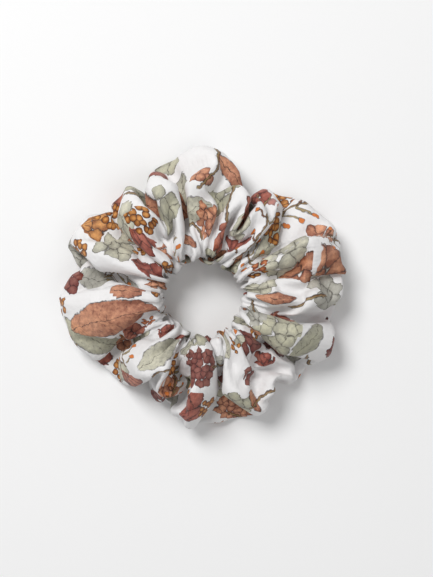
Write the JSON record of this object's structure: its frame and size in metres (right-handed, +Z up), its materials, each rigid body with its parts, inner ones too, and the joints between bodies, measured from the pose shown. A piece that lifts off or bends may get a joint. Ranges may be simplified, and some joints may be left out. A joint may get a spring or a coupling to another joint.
{
  "type": "scrunchie",
  "caption": "Gathered cloth hair tie: a flower-printed fabric tube bunched into puffs round a hidden loop of elastic that pulls open and springs back.",
  "frame": {"origin": "centre of the ring, on the table it lies on", "axes": "+Z up along the hole's axis, +X through the middle of the first puff, where the elastic's ends are joined"},
  "size_m": [0.114, 0.114, 0.0342],
  "materials": {
    "printed_cloth": "fine plain weave with a slight sheen, off-white, printed all over with small peach, rust and mustard flowers and grey-green leaves",
    "elastic": "matt white braided elastic",
    "thread": "matt off-white sewing thread"
  },
  "bodies": {
    "near_side": {"casing_puff_12": "printed_cloth", "elastic_arc_12": "elastic", "long_seam_stitches_12": "thread", "casing_puff_01": "printed_cloth", "elastic_arc_01": "elastic", "long_seam_stitches_01": "thread", "casing_puff_02": "printed_cloth", "elastic_arc_02": "elastic", "long_seam_stitches_02": "thread", "closing_seam_stitches": "thread", "elastic_join_stitches": "thread"},
    "far_side": {"casing_puff_06": "printed_cloth", "elastic_arc_06": "elastic", "long_seam_stitches_06": "thread", "casing_puff_07": "printed_cloth", "elastic_arc_07": "elastic", "long_seam_stitches_07": "thread", "casing_puff_08": "printed_cloth", "elastic_arc_08": "elastic", "long_seam_stitches_08": "thread"},
    "station_03": {"casing_puff_03": "printed_cloth", "elastic_arc_03": "elastic", "long_seam_stitches_03": "thread"},
    "station_04": {"casing_puff_04": "printed_cloth", "elastic_arc_04": "elastic", "long_seam_stitches_04": "thread"},
    "station_05": {"casing_puff_05": "printed_cloth", "elastic_arc_05": "elastic", "long_seam_stitches_05": "thread"},
    "station_09": {"casing_puff_09": "printed_cloth", "elastic_arc_09": "elastic", "long_seam_stitches_09": "thread"},
    "station_10": {"casing_puff_10": "printed_cloth", "elastic_arc_10": "elastic", "long_seam_stitches_10": "thread"},
    "station_11": {"casing_puff_11": "printed_cloth", "elastic_arc_11": "elastic", "long_seam_stitches_11": "thread"}
  },
  "joints": [
    {"name": "stretch", "type": "slide", "parent": "near_side", "child": "far_side", "axis": [-1, 0, 0], "range_m": [0, 0.06], "stiffness_N_per_m": 150},
    {"name": "station_03_travel", "type": "slide", "parent": "near_side", "child": "station_03", "axis": [-1, 0, 0], "range_m": [0, 0.0086]},
    {"name": "station_04_travel", "type": "slide", "parent": "near_side", "child": "station_04", "axis": [-1, 0, 0], "range_m": [0, 0.0302]},
    {"name": "station_05_travel", "type": "slide", "parent": "near_side", "child": "station_05", "axis": [-1, 0, 0], "range_m": [0, 0.0518]},
    {"name": "station_09_travel", "type": "slide", "parent": "near_side", "child": "station_09", "axis": [-1, 0, 0], "range_m": [0, 0.0518]},
    {"name": "station_10_travel", "type": "slide", "parent": "near_side", "child": "station_10", "axis": [-1, 0, 0], "range_m": [0, 0.0302]},
    {"name": "station_11_travel", "type": "slide", "parent": "near_side", "child": "station_11", "axis": [-1, 0, 0], "range_m": [0, 0.0086]}
  ],
  "couplings": [
    {"joint": "station_03_travel", "follows": "stretch", "ratio": 0.14},
    {"joint": "station_04_travel", "follows": "stretch", "ratio": 0.5},
    {"joint": "station_05_travel", "follows": "stretch", "ratio": 0.86},
    {"joint": "station_09_travel", "follows": "stretch", "ratio": 0.86},
    {"joint": "station_10_travel", "follows": "stretch", "ratio": 0.5},
    {"joint": "station_11_travel", "follows": "stretch", "ratio": 0.14}
  ]
}
